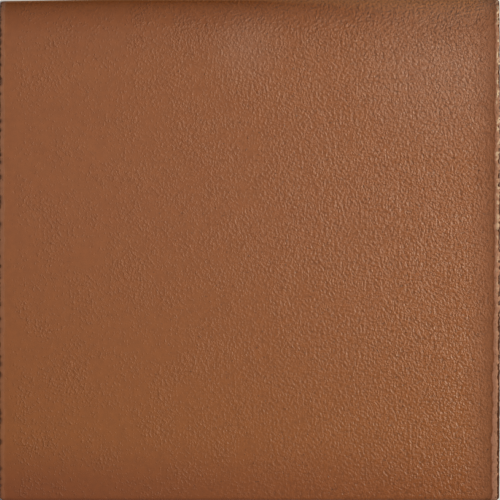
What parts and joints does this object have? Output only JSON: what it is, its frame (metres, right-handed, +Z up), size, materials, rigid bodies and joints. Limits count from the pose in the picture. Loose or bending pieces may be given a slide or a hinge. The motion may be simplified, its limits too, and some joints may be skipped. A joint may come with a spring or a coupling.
{
  "type": "bullnose quarry tile",
  "caption": "Square unglazed red clay floor tile with a quarter-round bullnose along one edge, two wire-cut ends and a grooved back.",
  "frame": {"origin": "middle of the back, at the level that the tile rests on", "axes": "+Z up out of the wear face, +Y towards the bullnose edge, X along the extrusion from one wire-cut end to the other"},
  "size_m": [0.15, 0.15, 0.0125],
  "materials": {
    "fired_clay": "unglazed red-brown fired clay, pebbly satin fire skin, dry ragged wire-cut arrises"
  },
  "bodies": {
    "root": {"quarry_tile": "fired_clay"}
  },
  "joints": []
}
